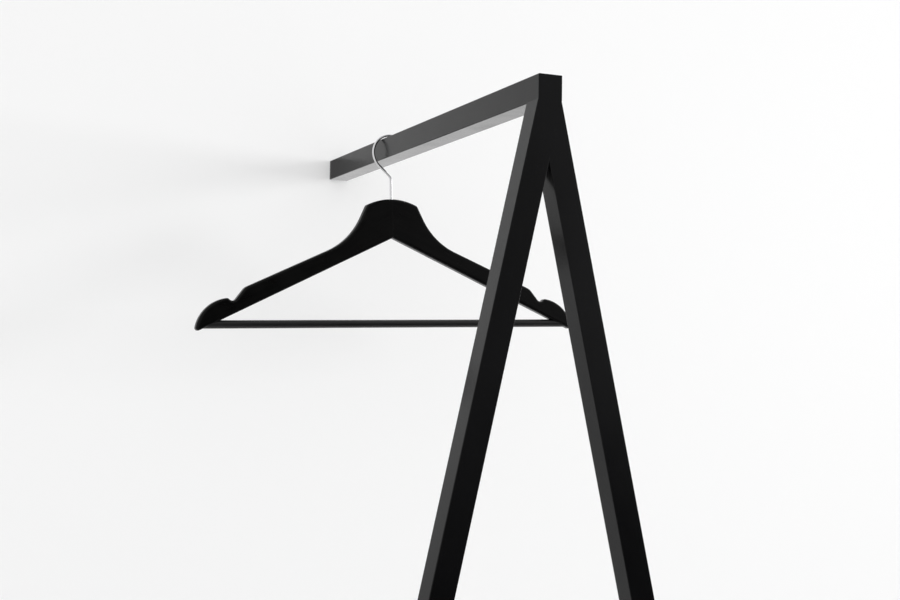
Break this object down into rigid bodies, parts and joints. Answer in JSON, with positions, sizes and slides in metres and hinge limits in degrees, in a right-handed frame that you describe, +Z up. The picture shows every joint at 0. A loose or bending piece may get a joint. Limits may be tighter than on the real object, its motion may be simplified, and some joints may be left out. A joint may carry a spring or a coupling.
{
  "type": "wall-held coat stand",
  "caption": "Coat stand: a square-tube rail on splayed tube legs, fixed to a wall at its far end, with a wooden trouser-bar hanger on a swivelling wire hook.",
  "frame": {"origin": "On the floor, under the middle of the rail: halfway between the legs' front face and the wall, midway between the feet", "axes": "+Z up; +Y along the rail, from the legs to the wall; +X to the right when facing the wall"},
  "size_m": [0.7566, 0.6, 1.6575],
  "materials": {
    "powder_black": "fine-textured black powder coat, satin",
    "zinc_steel": "zinc-plated steel",
    "plastic_black": "moulded black polyethylene, matt",
    "wire_steel": "polished plated wire",
    "brass": "turned brass",
    "wood_black": "black-stained wood, satin lacquer, grain just visible"
  },
  "bodies": {
    "stand": {"rail": "powder_black", "rail_end_plate": "powder_black", "leg_left": "powder_black", "leg_right": "powder_black", "wall_block": "zinc_steel", "set_screw": "zinc_steel", "foot_left": "plastic_black", "foot_right": "plastic_black"},
    "hook": {"hook": "wire_steel"},
    "hanger": {"hook_bush": "brass", "hanger_arm_left": "wood_black", "hanger_arm_right": "wood_black", "trouser_bar": "wood_black", "bar_pins": "zinc_steel"}
  },
  "joints": [
    {"name": "hook_slide", "type": "slide", "parent": "stand", "child": "hook", "axis": [0, 1, 0], "range_m": [-0.24, 0.04]},
    {"name": "hanger_swivel", "type": "hinge", "parent": "hook", "child": "hanger", "pos_m": [0, 0.1125, 1.63436], "axis": [-0.0349, 0, 0.9994], "range_deg": [-35, 35]}
  ]
}
